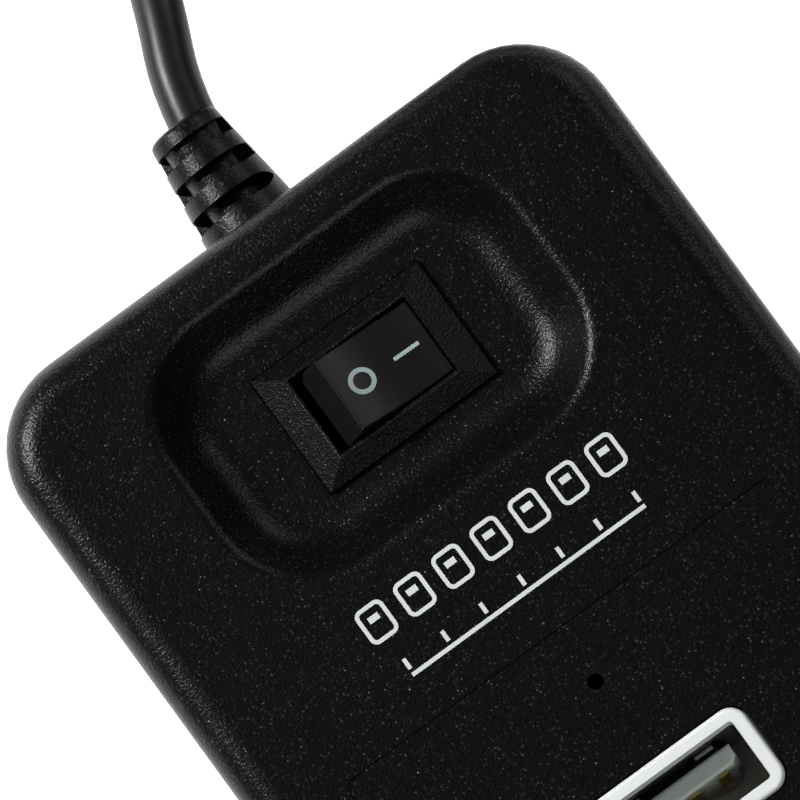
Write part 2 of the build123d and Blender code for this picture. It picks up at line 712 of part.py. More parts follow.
with BuildPart() as switch_housing:
    with BuildSketch(Plane.XY.offset(dish_floor_z - bezel_seat)):
        with Locations((0, switch_y)):
            Rectangle(bezel_length, bezel_width)
    extrude(amount=bezel_seat + bezel_rim_height)
    with BuildSketch(Plane.XY.offset(dish_floor_z + bezel_rim_height)):
        with Locations((0, switch_y)):
            Rectangle(bezel_length, bezel_width)
    with BuildSketch(Plane.XY.offset(bezel_top_z)):
        with Locations((0, switch_y)):
            Rectangle(window_length + 2 * bezel_land, window_width + 2 * bezel_land)
    loft()
    fillet(switch_housing.edges().filter_by_position(Axis.Z, bezel_top_z - 0.01, bezel_top_z), 0.15)
    with BuildSketch(Plane.XY.offset(dish_floor_z)):
        with Locations((0, switch_y)):
            Rectangle(housing_length, housing_width)
    extrude(amount=-housing_depth)
    # barbs that hold the housing behind the dish's floor
    with BuildSketch(Plane.XZ.offset(-switch_y)):
        for side in (-1, 1):
            high = dish_floor_z - wall - fit_gap
            with BuildLine():
                Polyline(
                    (side * (housing_length / 2 - 0.2), high),
                    (side * (housing_length / 2 + barb_reach), high),
                    (side * (housing_length / 2 - 0.2), high - barb_height),
                    close=True,
                )
            make_face()
    extrude(amount=housing_width / 4, both=True)
    with BuildSketch(Plane.XY.offset(bezel_top_z)):
        with Locations((0, switch_y)):
            Rectangle(window_length, window_width)
    extrude(amount=-window_depth, mode=Mode.SUBTRACT)
    with BuildSketch(Plane.XY.offset(bezel_top_z - window_depth)):
        with Locations((0, switch_y)):
            Rectangle(chamber_length, window_width)
    extrude(amount=chamber_floor_z - bezel_top_z + window_depth, mode=Mode.SUBTRACT)
    with BuildSketch(Plane.XZ.offset(-switch_y)):
        with Locations((0, pivot_z)):
            Circle(trunnion_radius + running_gap)
    extrude(amount=housing_width, both=True, mode=Mode.SUBTRACT)
    with BuildSketch(Plane.XY.offset(chamber_floor_z)):
        with Locations(*[(x, switch_y) for x in terminal_xs]):
            Rectangle(terminal_thickness, terminal_width)
    extrude(amount=-housing_floor, mode=Mode.SUBTRACT)
save(switch_housing.part, "switch_housing")

# ---- Rocker and what rides in it -------------------------------------------------------------
# Drawn level in the rocker's own planes, which lean with it: pressed down at +X.
lean = radians(rocker_tilt)
rocker_side = Plane(
    origin=(0, switch_y, pivot_z), x_dir=(cos(lean), 0, -sin(lean)), z_dir=(0, -1, 0)
)
rocker_top = Plane(
    origin=(0, switch_y, pivot_z), x_dir=(cos(lean), 0, -sin(lean)), z_dir=(sin(lean), 0, cos(lean))
)
rocker_width = window_width - 2 * rocker_side_gap
skirt_bottom = (4.4, -0.6)
plunger_tube_wall = 0.6
plunger_tube_low = -3.0
plunger_tube_high = 2.0
plunger_top = -1.2

with BuildPart() as switch_rocker:
    with BuildSketch(rocker_side):
        with BuildLine():
            ThreePointArc(
                (-rocker_end_reach, rocker_end_height), (0, rocker_middle_height),
                (rocker_end_reach, rocker_end_height),
            )
            Polyline(
                (rocker_end_reach, rocker_end_height),
                (rocker_skirt_reach, rocker_skirt_height),
                skirt_bottom,
                (-skirt_bottom[0], skirt_bottom[1]),
                (-rocker_skirt_reach, rocker_skirt_height),
                (-rocker_end_reach, rocker_end_height),
            )
        make_face()
    extrude(amount=rocker_width / 2, both=True)
    saddle = switch_rocker.faces().filter_by(GeomType.CYLINDER)[0]
    fillet(saddle.edges(), 0.15)
    with BuildSketch(rocker_side):
        with BuildLine():
            Polyline(
                (rocker_end_reach - rocker_skin, rocker_middle_height - rocker_skin),
                (rocker_skirt_reach - rocker_skin, rocker_skirt_height),
                (skirt_bottom[0] - rocker_skin, skirt_bottom[1]),
                (rocker_skin - skirt_bottom[0], skirt_bottom[1]),
                (rocker_skin - rocker_skirt_reach, rocker_skirt_height),
                (rocker_skin - rocker_end_reach, rocker_middle_height - rocker_skin),
                close=True,
            )
        make_face()
    extrude(amount=rocker_width / 2 - rocker_skin, both=True, mode=Mode.SUBTRACT)
    with BuildSketch(rocker_top.offset(plunger_tube_low)):
        Circle(plunger_radius + running_gap + plunger_tube_wall)
    extrude(amount=rocker_middle_height - rocker_skin / 2 - plunger_tube_low)
    with BuildSketch(rocker_top.offset(plunger_tube_low)):
        Circle(plunger_radius + running_gap)
    extrude(amount=plunger_tube_high - plunger_tube_low, mode=Mode.SUBTRACT)
    for side in (-1, 1):
        with BuildSketch(rocker_side.offset(side * (rocker_width / 2 - rocker_skin / 2))):
            Circle(trunnion_radius)
        extrude(amount=side * (rocker_skin / 2 + rocker_side_gap + trunnion_length))
save(switch_rocker.part, "switch_rocker")

with BuildPart() as switch_plunger:
    with BuildSketch(rocker_top.offset(plunger_top)):
        Circle(plunger_radius)
    extrude(amount=plunger_radius - plunger_reach - plunger_top)
    with Locations(rocker_top.offset(plunger_radius - plunger_reach)):
        Sphere(plunger_radius)
save(switch_plunger.part, "switch_plunger")

spring_wire = 0.14
spring_radius = 0.7
spring_turns = 6
spring_length = plunger_tube_high - plunger_top
spring_rise = spring_length - 2 * spring_wire
spring_plane = rocker_top.offset(plunger_top + spring_wire)
with BuildPart() as switch_spring:
    with BuildLine() as coil:
        Helix(
            spring_rise / spring_turns, spring_rise, spring_radius,
            center=spring_plane.origin, direction=spring_plane.z_dir,
        )
    helix = coil.wire()
    with BuildSketch(Plane(origin=helix @ 0, z_dir=helix % 0)):
        Circle(spring_wire)
    sweep(path=helix, is_frenet=True)
save(switch_spring.part, "switch_spring")

# ---- See-saw contact and terminals -----------------------------------------------------------
# The arm leans the other way to the rocker: its -X end is down on the fixed contact.
arm_lean = radians(arm_tilt)
arm_side = Plane(
    origin=(0, switch_y, arm_pivot_z), x_dir=(cos(arm_lean), 0, sin(arm_lean)), z_dir=(0, -1, 0)
)
arm_rise = arm_reach * tan(arm_lean)
with BuildPart() as contact_arm:
    with BuildSketch(arm_side):
        with BuildLine():
            Polyline(
                (0, 0),
                (arm_reach, arm_rise),
                (arm_reach, arm_rise + arm_thickness),
                (0, arm_thickness),
                (-arm_reach, arm_rise + arm_thickness),
                (-arm_reach, arm_rise),
                close=True,
            )
        make_face()
    extrude(amount=arm_width / 2, both=True)
    with BuildSketch(Plane.XY.offset(arm_pivot_z + arm_thickness / 2)):
        with Locations((-terminal_spacing, switch_y)):
            Circle(rivet_radius)
    extrude(amount=-arm_thickness / 2 - rivet_height)
save(contact_arm.part, "contact_arm")

pad_top_z = arm_pivot_z - rivet_height - running_gap
with BuildPart() as switch_terminals:
    with BuildSketch(Plane.XY.offset(housing_bottom_z - terminal_drop)):
        with Locations(*[(x, switch_y) for x in terminal_xs]):
            Rectangle(terminal_thickness, terminal_width)
    extrude(amount=terminal_drop + housing_floor)
    with BuildSketch(Plane.XY.offset(chamber_floor_z)):
        with Locations((0, switch_y)):
            Rectangle(terminal_thickness, terminal_width)
    extrude(amount=arm_pivot_z - running_gap - chamber_floor_z)
    chamfer(
        switch_terminals.edges().filter_by(Axis.Y).group_by(Axis.Z)[-1], terminal_thickness * 0.45
    )
    with BuildSketch(Plane.XY.offset(chamber_floor_z)):
        with Locations((-terminal_spacing, switch_y)):
            Circle(rivet_radius)
    extrude(amount=pad_top_z - chamber_floor_z)
save(switch_terminals.part, "switch_terminals")

# ---- Strain relief ---------------------------------------------------------------------------
boot_plane = Plane(origin=(boot_x, cord_end_y, parting_z), x_dir=(0, 1, 0), z_dir=(1, 0, 0))
boot_axis = Axis((boot_x, cord_end_y, parting_z), (0, 1, 0))
boot_slot_outer = boot_base_radius + 1
boot_sleeve_radius = cord_radius + boot_sleeve
boot_turn = radians(boot_slot_turn)
boot_face = Plane(
    origin=(boot_x, cord_end_y, parting_z), x_dir=(0, 1, 0), z_dir=(-sin(boot_turn), 0, cos(boot_turn))
)
with BuildPart() as strain_relief:
    with BuildSketch(boot_plane):
        with BuildLine():
            Polyline(
                (-wall - boot_flange_thickness, cord_radius),
                (-wall - boot_flange_thickness, boot_flange_radius),
                (-wall, boot_flange_radius),
                (-wall, boot_neck_radius),
                (0, boot_neck_radius),
                (0, boot_base_radius),
                (boot_length, boot_tip_radius),
                (boot_length, cord_radius),
                close=True,
            )
        make_face()
    revolve(axis=boot_axis)
    tip_edges = strain_relief.edges().filter_by(GeomType.CIRCLE).group_by(Axis.Y)[-1]
    fillet(tip_edges.sort_by(SortBy.RADIUS)[-1], boot_tip_wall * 0.6)
    # slots open at the -X side and end round at the +X side, with shorter ones between them behind
    with BuildSketch(boot_face):
        for index in range(boot_slot_count):
            along = boot_slot_start + index * boot_slot_pitch
            with Locations((along, boot_slot_outer - (boot_slot_reach + boot_slot_outer) / 2)):
                SlotOverall(boot_slot_reach + boot_slot_outer + boot_slot_width, boot_slot_width, rotation=90)
    extrude(amount=boot_slot_outer, mode=Mode.SUBTRACT)
    with BuildSketch(boot_face):
        for index in range(boot_slot_count - 1):
            with Locations((boot_slot_start + (index + 0.5) * boot_slot_pitch, 0)):
                SlotOverall(boot_back_slot_length, boot_slot_width, rotation=90)
    extrude(amount=-boot_slot_outer, mode=Mode.SUBTRACT)
    with BuildSketch(Plane.XZ.offset(-cord_end_y)):
        with Locations((boot_x, parting_z)):
            Circle(boot_sleeve_radius)
            Circle(cord_radius, mode=Mode.SUBTRACT)
    extrude(amount=-boot_length / 2 - boot_slot_pitch * boot_slot_count / 2)
save(strain_relief.part, "strain_relief")

# ---- Cord: from the casing down to the floor, round a tied coil, and on to the plug ------------
coil_centre = (28.4, 40.3)  # X, and distance beyond the cord-end wall
coil_mean_radius = 21.0
tie_thickness = 0.6
coil_floor = tie_thickness  # the tie lies under the coil
lane_rise = cord_diameter * sin(pi / 3)
coil_x = coil_centre[0]
coil_y = cord_end_y + coil_centre[1]

cord_route = point_list(
    (boot_x, -3.2, parting_z),
    (boot_x, 9.6, parting_z),
    (4.4, 20.5, 10.3),
    (6.0, 29.5, 5.6),
    (4.0, 38.0, 2.5),
)
cord_tail_route = point_list(
    (50.9, 44.3, 5.8),
    (52.0, 34.5, 6.7),
    (52.5, 25.0, 5.6),
    (52.5, 16.5, 4.0),
    (52.5, 9.0, 4.0),
)
for title, route in (("cord", cord_route), ("cord tail", cord_tail_route)):
    print(title, "radii:", [round(r, 1) for r in bend_radii(route)])

cord, cord_run = rod(cord_route, cord_radius, bend_radii(cord_route))
save(cord, "cord")
cord_tail, cord_tail_run = rod(cord_tail_route, cord_radius, bend_radii(cord_tail_route))
save(cord_tail, "cord_tail")
for title, tube, run in (("cord", cord, cord_run), ("cord tail", cord_tail, cord_tail_run)):
    print(title, "volume", round(tube.volume, 1), "section x length", round(pi * cord_radius**2 * run, 1))

# Six lanes stacked three, two and one, seen as the coil's section at its +X side.
coil_plane = Plane(origin=(coil_x, coil_y, coil_floor), x_dir=(1, 0, 0), z_dir=(0, -1, 0))
coil_axis = Axis((coil_x, coil_y, coil_floor), (0, 0, 1))
coil_corners = (
    (coil_mean_radius - 1.5 * cord_diameter, 0),
    (coil_mean_radius + 1.5 * cord_diameter, 0),
    (coil_mean_radius + 1.5 * cord_diameter, cord_radius),
    (coil_mean_radius + 0.5 * cord_diameter, cord_diameter + 2 * lane_rise),
    (coil_mean_radius - 0.5 * cord_diameter, cord_diameter + 2 * lane_rise),
    (coil_mean_radius - 1.5 * cord_diameter, cord_radius),
)
with BuildPart() as cord_coil:
    with BuildSketch(coil_plane):
        with BuildLine():
            Polyline(*coil_corners, close=True)
        make_face()
    revolve(axis=coil_axis)
save(cord_coil.part, "cord_coil")

tie_angle = 100.0  # round the coil from +X to the start of the tie
tie_arc = 22.0
with BuildPart() as cord_tie:
    with BuildSketch(coil_plane):
        with BuildLine():
            Polyline(*coil_corners, close=True)
        make_face()
        offset(amount=tie_thickness, kind=Kind.ARC)
        with BuildLine():
            Polyline(*coil_corners, close=True)
        make_face(mode=Mode.SUBTRACT)
    revolve(axis=coil_axis, revolution_arc=tie_arc)
save(cord_tie.part.rotate(coil_axis, tie_angle), "cord_tie")

# ---- Plug ------------------------------------------------------------------------------------
plug_width = 15.6
plug_thickness = 8.0
plug_grip_length = 20.0
plug_shoulder_length = 5.0
plug_neck_length = 6.0
plug_neck_radius = 2.9
plug_shell_length = 12.0  # along X
plug_shell_width = 4.5
plug_shell_reach = 11.75  # beyond the grip
plug_shell_root = 5.0  # inside the grip
plug_insulator_thickness = 1.85
plug_back = cord_tail_route[-1]
plug_plane = Plane(origin=plug_back, x_dir=(1, 0, 0), z_dir=(0, -1, 0))
grip_start = plug_neck_length + plug_shoulder_length
grip_end = grip_start + plug_grip_length
shell_start = grip_end - plug_shell_root
shell_end = grip_end + plug_shell_reach

with BuildPart() as plug_overmould:
    with BuildSketch(plug_plane):
        Circle(plug_neck_radius)
    extrude(amount=plug_neck_length)
    for groove in (1.6, 3.4):
        with BuildSketch(plug_plane.offset(groove)):
            Circle(plug_neck_radius + 1)
            Circle(plug_neck_radius - 0.5, mode=Mode.SUBTRACT)
        extrude(amount=0.9, mode=Mode.SUBTRACT)
    with BuildSketch(plug_plane.offset(plug_neck_length)):
        RectangleRounded(2 * plug_neck_radius + 1, 2 * plug_neck_radius, 2.0)
    with BuildSketch(plug_plane.offset(grip_start)):
        RectangleRounded(plug_width, plug_thickness, 2.0)
    loft()
    with BuildSketch(plug_plane.offset(grip_start)):
        RectangleRounded(plug_width, plug_thickness, 2.0)
    extrude(amount=plug_grip_length)
    fillet(plug_overmould.faces().sort_by(Axis.Y)[0].edges(), 0.8)
    with BuildSketch(plug_plane.offset(shell_start)):
        RectangleRounded(plug_shell_length, plug_shell_width, 0.6)
    extrude(amount=plug_shell_root, mode=Mode.SUBTRACT)
save(plug_overmould.part, "plug_overmould")

with BuildPart() as plug_shell:
    with BuildSketch(plug_plane.offset(shell_start)):
        RectangleRounded(plug_shell_length, plug_shell_width, 0.6)
        RectangleRounded(
            plug_shell_length - 2 * shell_thickness, plug_shell_width - 2 * shell_thickness, 0.3,
            mode=Mode.SUBTRACT,
        )
    extrude(amount=shell_end - shell_start)
    with BuildSketch(Plane.XY.offset(plug_back[2])):
        with Locations(*[(plug_back[0] + x, plug_back[1] - shell_end + 5.2) for x in (-2.6, 2.6)]):
            Rectangle(2.2, 2.4)
    extrude(amount=plug_shell_width, both=True, mode=Mode.SUBTRACT)
save(plug_shell.part, "plug_shell")

plug_inside_length = plug_shell_length - 2 * shell_thickness - fit_gap
plug_inside_width = plug_shell_width - 2 * shell_thickness - fit_gap
with BuildPart() as plug_insulator:
    with BuildSketch(plug_plane.offset(shell_start)):
        RectangleRounded(plug_inside_length, plug_inside_width, shell_thickness)
    extrude(amount=plug_shell_root)
    with BuildSketch(plug_plane.offset(shell_start)):
        with Locations((0, (plug_insulator_thickness - plug_inside_width) / 2)):
            RectangleRounded(plug_inside_length, plug_insulator_thickness, shell_thickness)
    extrude(amount=shell_end - shell_start - 0.4)
save(plug_insulator.part, "plug_insulator")

plug_contact_height = plug_insulator_thickness - (plug_inside_width - contact_thickness) / 2
with BuildPart() as plug_contacts:
    with BuildSketch(plug_plane.offset(grip_end)):
        with Locations(*[(x, plug_contact_height) for x in contact_xs]):
            Rectangle(contact_width, contact_thickness)
    extrude(amount=plug_shell_reach - 1.6)
save(plug_contacts.part, "plug_contacts")

# ---- Leads inside the casing -----------------------------------------------------------------
lead_radius = 0.55
lead_bend = 2.0
lead_start_y = cord_end_y - 3.2
lead_offset = 0.75  # each lead from the middle of the cord
lead_side_x = 9.5  # clear of the switch
pad_y = board_front_y - 3.5
pad_z = board_top_z + lead_radius


def lead(points):
    """One insulated lead with gentle bends."""
    piece, _ = rod(points, lead_radius, [lead_bend] * (len(points) - 2))
    return piece


def side_lead(start_x, start_z, side_x, pad_x):
    """A lead that passes beside the switch and drops on to its pad."""
    return lead([
        (start_x, lead_start_y, start_z),
        (start_x, lead_start_y - 3.6, start_z),
        (side_x, switch_y + housing_width / 2 + 0.4, start_z),
        (side_x, board_front_y + 9, start_z),
        (pad_x, board_front_y + 0.5, pad_z + 0.6),
        (pad_x, pad_y, pad_z),
    ])


high_z = parting_z + lead_offset
low_z = parting_z - lead_offset
left_x = boot_x - lead_offset
right_x = boot_x + lead_offset
save(
    Part(children=[
        side_lead(left_x, high_z, -lead_side_x, -lead_side_x + 2.5),
        side_lead(left_x, low_z, -lead_side_x, -lead_side_x),
        side_lead(right_x, high_z, lead_side_x, lead_side_x),
    ]),
    "cord_leads",
)
terminal_face = terminal_width / 2
terminal_wire_z = housing_bottom_z - terminal_drop + 1.4
save(
    Part(children=[
        lead([
            (right_x, lead_start_y, low_z),
            (right_x, lead_start_y - 3.0, low_z),
            (0, lead_start_y - 6.5, terminal_wire_z + 0.3),
            (0, switch_y + terminal_face, terminal_wire_z),
        ]),
        lead([
            (-terminal_spacing, switch_y - terminal_face, terminal_wire_z),
            (-terminal_spacing, switch_y - terminal_face - 5, terminal_wire_z + 0.1),
            (-terminal_spacing, board_front_y + 2.5, pad_z + 0.8),
            (-terminal_spacing, pad_y, pad_z),
        ]),
    ]),
    "switch_leads",
)

print("casing", casing_width, "x", round(casing_length, 1), "x", casing_height)
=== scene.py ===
# %% [markdown]
# # A USB hub with a rocker switch
#
# The hub is a flat black strip with a row of upright sockets, a power switch in a soft dish and a
# cord wound up behind it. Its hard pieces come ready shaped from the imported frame, so this lesson
# adds what a frame can't hold: the lie of the cord, the printed marks, and the finish of every
# surface. Work is done at true size in metres. Small sizes read better in millimetres, so `mm`
# turns one into the other.

import math

import bmesh
import bpy
from mathutils import Matrix, Vector
from mathutils.bvhtree import BVHTree


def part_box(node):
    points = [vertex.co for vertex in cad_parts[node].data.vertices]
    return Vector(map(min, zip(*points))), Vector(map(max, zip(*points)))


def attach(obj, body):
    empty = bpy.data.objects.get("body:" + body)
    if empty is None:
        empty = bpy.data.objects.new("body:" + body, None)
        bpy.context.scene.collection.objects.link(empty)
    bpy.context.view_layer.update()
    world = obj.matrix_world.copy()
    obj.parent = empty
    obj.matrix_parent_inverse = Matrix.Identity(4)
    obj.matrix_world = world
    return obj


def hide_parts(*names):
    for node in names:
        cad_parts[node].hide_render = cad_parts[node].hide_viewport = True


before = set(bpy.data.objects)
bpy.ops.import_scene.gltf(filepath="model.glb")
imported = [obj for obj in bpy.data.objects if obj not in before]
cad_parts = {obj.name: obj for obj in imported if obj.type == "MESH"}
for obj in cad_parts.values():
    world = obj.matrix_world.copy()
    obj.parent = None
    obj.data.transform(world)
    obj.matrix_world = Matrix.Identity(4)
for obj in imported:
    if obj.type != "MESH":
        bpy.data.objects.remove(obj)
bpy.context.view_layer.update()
mm = 0.001
print("pieces in the frame:", len(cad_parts))

# %% Find the lines that everything is placed from
casing_low, casing_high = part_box("top_shell")
cord_end_y = casing_high.y
casing_top = casing_high.z
switch_low, switch_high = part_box("switch_housing")
switch_y = (switch_low.y + switch_high.y) / 2
print(f"casing {(casing_high.x - casing_low.x) / mm:.1f} x {(casing_high.y - casing_low.y) / mm:.1f} mm")

# %% [markdown]
# ## Camera
#
# The camera looks almost straight down at the cord end, leaning eight degrees towards the sockets
# and rolled so that the strip runs across the picture. A very long lens from two metres away keeps
# the edges parallel, as a product picture does. A wide lens close by would make the corner bulge.

# %% Place the camera
camera_distance = 2.0
camera_field = 58.4 * mm  # what the picture spans at the casing's top
camera_lean = math.radians(8)
camera_roll = math.radians(-36.1)
camera_aim = Vector((0.57 * mm, cord_end_y - 17.8 * mm, casing_top))

camera = bpy.data.objects.new("camera", bpy.data.cameras.new("camera"))
bpy.context.scene.collection.objects.link(camera)
camera.data.sensor_width = 36
camera.data.lens = camera.data.sensor_width * camera_distance / camera_field
camera.data.clip_end = 10
camera_turn = Matrix.Rotation(camera_lean, 4, "X") @ Matrix.Rotation(camera_roll, 4, "Z")
camera_back = camera_turn.to_3x3() @ Vector((0, 0, 1))
camera.matrix_world = Matrix.Translation(camera_aim + camera_distance * camera_back) @ camera_turn
bpy.context.scene.camera = camera
print(f"lens {camera.data.lens:.0f} mm")

# %% [markdown]
# ## Cord
#
# The cord leaves the strain relief, sinks to the table and is put away in a tied coil. It is one
# curve from end to end. A curve of chosen points gives a cord its calm bends: each point pulls the
# line towards itself without making it pass through, so it never kinks. The free stretches are
# given points, and the coil's points come from a loop.

# %% The free stretches, as X, distance beyond the casing's end, and height
cord_diameter = 3.8 * mm
cord_start_route = (
    (-0.6, -3.2, 11.6),
    (-0.6, 9.6, 11.6),
    (4.4, 20.5, 10.3),
    (6.0, 29.5, 5.6),
    (4.0, 38.0, 2.5),
)
cord_end_route = (
    (50.9, 44.3, 5.8),
    (52.0, 34.5, 6.7),
    (52.5, 25.0, 5.6),
    (52.5, 16.5, 4.0),
    (52.5, 9.0, 4.0),
)


def in_place(route):
    """Route points in metres, in the hub's own frame."""
    return [Vector((x * mm, cord_end_y + d * mm, z * mm)) for x, d, z in route]


# %% [markdown]
# The coil is wound like a hank on a hand: three lanes on the table from the outside in, then lanes
# in the grooves above them, each a diameter from the next. Every change of lane takes a sixth of a
# turn, and each one comes a little earlier than the last, so that no two cross in the same place.

# %% The coil, lane by lane
coil_centre = Vector((28.4 * mm, cord_end_y + 40.3 * mm, 0))
coil_start_degrees = 188
coil_end_degrees = 10
coil_whole_turns = 5
coil_start = math.radians(coil_start_degrees)
coil_end_turns = (coil_start_degrees - coil_end_degrees) / 360 + coil_whole_turns
points_per_turn = 18
lanes = (  # turn at which the lane begins, radius, height of its middle
    (0.0, 24.8, 2.5),
    (0.83, 21.0, 2.5),
    (1.83, 17.2, 2.5),
    (2.66, 19.1, 5.8),
    (3.5, 21.0, 9.1),
    (4.33, 22.9, 5.8),
)
lane_change = 0.17  # of a turn
climb_haste = 1.5  # a lane that climbs gets up before it has moved all the way across


def ease(amount):
    """Nought to one with a soft start and end."""
    amount = min(max(amount, 0), 1)
    return amount * amount * (3 - 2 * amount)


def coil_point(turns):
    """The point of the coil's line after so many turns from its start."""
    radius, height = lanes[0][1:]
    for begin, next_radius, next_height in lanes[1:]:
        share = (turns - begin) / lane_change
        radius += (next_radius - radius) * ease(share)
        climbs = next_height > height
        height += (next_height - height) * ease(share * climb_haste if climbs else share)
    angle = coil_start - 2 * math.pi * turns
    return coil_centre + Vector((radius * mm * math.cos(angle), radius * mm * math.sin(angle), height * mm))


coil_points = [
    coil_point(step / points_per_turn) for step in range(1, int(coil_end_turns * points_per_turn))
]
print("points in the coil:", len(coil_points))

# %% Make the cord from all its points
cord_points = [*in_place(cord_start_route), *coil_points, *in_place(cord_end_route)]
cord_curve = bpy.data.curves.new("cord_jacket", "CURVE")
cord_curve.dimensions = "3D"
cord_curve.bevel_depth = 1.0  # each point's radius below is then the cord's own
cord_curve.bevel_resolution = 7
cord_curve.resolution_u = 10
cord_curve.use_fill_caps = True
cord_line = cord_curve.splines.new("NURBS")
cord_line.points.add(len(cord_points) - 1)
for made, point in zip(cord_line.points, cord_points):
    made.co = (*point, 1)
    made.radius = cord_diameter / 2
cord_line.order_u = 3
cord_line.use_endpoint_u = True
cord_jacket = bpy.data.objects.new("cord_jacket", cord_curve)
bpy.context.scene.collection.objects.link(cord_jacket)
print(f"cord line {cord_line.calc_length() / mm:.0f} mm")

# %% Tell the frame what the cord is
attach(cord_jacket, "casing")
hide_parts("cord", "cord_coil", "cord_tail")

# %% [markdown]
# ## Shader arithmetic
#
# A finish is a sum of simple patterns: a grain plus a mottle, one minus a mask. Nodes hold those
# sums, but a page of node calls hides them. The class below holds one output of a node and answers
# to plus, minus and times, so a pattern is written as the sum that it is.

# %% A value that changes over a surface
class Pattern:
    """A node's output, used in sums like a number."""

    def __init__(self, socket):
        self.socket = socket

    def node(self, kind, inputs=None, output=0, stops=None, **settings):
        """Add any other node beside this one: its settings first, then what its sockets get."""
        tree = self.socket.id_data
        made = tree.nodes.new(kind)
        for name, value in settings.items():
            setattr(made, name, value)
        for element, (place, shade) in zip(made.color_ramp.elements if stops else (), stops or ()):
            element.position = place
            element.color = (shade, shade, shade, 1)
        for name, value in (inputs or {}).items():
            feed(made, name, value)
        return Pattern(made.outputs[output])

    def sum_node(self, operation, first, second):
        return self.node("ShaderNodeMath", {0: first, 1: second}, operation=operation)

    def __add__(self, other):
        return self.sum_node("ADD", self, other)

    def __radd__(self, other):
        return self.sum_node("ADD", other, self)

    def __sub__(self, other):
        return self.sum_node("SUBTRACT", self, other)

    def __rsub__(self, other):
        return self.sum_node("SUBTRACT", other, self)

    def __mul__(self, other):
        return self.sum_node("MULTIPLY", self, other)

    def __rmul__(self, other):
        return self.sum_node("MULTIPLY", other, self)


def feed(node, name, value):
    """Give a node's socket a link if the value is a pattern, or else the plain value."""
    if isinstance(value, Pattern):
        node.id_data.links.new(value.socket, node.inputs[name])
    else:
        node.inputs[name].default_value = value


# %% [markdown]
# Every texture is laid in the object's own space, where one unit is one metre. That way the grain
# has a true size: a noise of scale 1 / (0.2 mm) has lumps a fifth of a millimetre across, whatever
# the piece, and it needs no unwrapping.

# %% Helpers that all the finishes share
def new_finish(name, color, roughness, metallic=0.0):
    """A material with plain values, its shader, and its place in the object's space."""
    material = bpy.data.materials.new(name)
    material.use_nodes = True
    shader = material.node_tree.nodes["Principled BSDF"]
    feed(shader, "Base Color", (*color, 1))
    feed(shader, "Roughness", roughness)
    feed(shader, "Metallic", metallic)
    place = material.node_tree.nodes.new("ShaderNodeTexCoord").outputs["Object"]
    return material, shader, Pattern(place)


def lumps(place, size, detail=2.0, stretch=None):
    """Noise from nought to one, with lumps of a given size in metres."""
    if stretch:
        place = place.node("ShaderNodeMapping", {"Vector": place, "Scale": stretch})
    return place.node(
        "ShaderNodeTexNoise", {"Vector": place, "Scale": 1 / size, "Detail": detail, "Roughness": 0.55}
    )


def narrowed(pattern, low, high):
    """The part of a pattern between two levels, spread from nought to one."""
    return pattern.node("ShaderNodeValToRGB", {"Fac": pattern}, stops=((low, 0), (high, 1)))


def mixed(pattern, first, second):
    """A colour that goes from the first to the second as the pattern goes from nought to one."""
    ends = [end if isinstance(end, Pattern) else (*end, 1) for end in (first, second)]
    return pattern.node(
        "ShaderNodeMix", {"Factor": pattern, 6: ends[0], 7: ends[1]}, output=2, data_type="RGBA"
    )


def raised(pattern, height, strength=1.0):
    """A bump whose full height is given in metres."""
    return pattern.node("ShaderNodeBump", {"Height": pattern, "Distance": height, "Strength": strength})


def dress(material, slot, *names):
    """Give a finish to nodes of the frame."""
    for name in names:
        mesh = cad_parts[name].data
        mesh.materials.clear()
        mesh.materials.append(material)
    print(f"{slot}: {len(names)} pieces in {material.name}")


# %% [markdown]
# ## Black casing
#
# The mould of a casing like this is spark-eroded, which leaves a fine sandy grain that hides
# scratches. The plastic is nearly black, and what the eye sees is the grain: here and there a facet
# catches the lamp as a tiny dot. A noise gives the sandy skin. A cell pattern gives the dots: every
# cell has its own middle and its own random shade, so a dot is drawn round some of the middles and
# not round others. Each dot is a small bump with a smoother skin, and it is also a painted highlight:
# its base colour is lifted to a light grey, so it shows as a glint under any lamp.

# %% Spark-eroded ABS
def scattered_dots(place, spacing, radius):
    """Dots of a given radius in metres, some bright and most faint, one to a cell."""
    cells = {"Vector": place, "Scale": 1 / spacing}
    reach = place.node("ShaderNodeTexVoronoi", cells)
    shade = place.node("ShaderNodeTexVoronoi", cells, output=1)
    share = radius / spacing
    round_dot = reach.node("ShaderNodeValToRGB", {"Fac": reach}, stops=((0.4 * share, 1), (share, 0)))
    return round_dot * narrowed(shade, 0.45, 1.0)


def eroded_plastic(name, color, grain, depth, roughness, gloss=0.17, painted_glint=0.034):
    """Moulded plastic with a sandy grain of a given size and depth, in metres, and painted glints."""
    material, shader, place = new_finish(name, color, roughness)
    feed(shader, "Specular IOR Level", gloss)
    sand = lumps(place, grain, detail=2.0)
    facets_and_painted_glints = scattered_dots(place, 1.2 * grain, 0.5 * grain)
    handled = lumps(place, 14 * mm, detail=3.0)
    skin = mixed(sand, [0.5 * c for c in color], [1.6 * c for c in color])
    # Painted highlights: inside the dots the base colour is lifted to a light grey, as glints.
    feed(shader, "Base Color", mixed(facets_and_painted_glints, skin, (painted_glint, painted_glint, painted_glint)))
    feed(shader, "Roughness", roughness - 0.08 * facets_and_painted_glints + 0.06 * (handled - 0.5))
    feed(shader, "Normal", raised(sand + 0.5 * facets_and_painted_glints, depth))
    return material


casing_plastic = eroded_plastic("casing_plastic", (0.0028, 0.0028, 0.003), 0.22 * mm, 0.050 * mm, 0.31)
dress(casing_plastic, "casing_plastic", "top_shell", "bottom_shell")

# %% [markdown]
# ## Switch
#
# The bezel has the same sandy skin and painted glints, but finer. The rocker is polished in its mould
# to a soft satin, so that fingers slide on it, and it shows smooth bands of light instead of glints.

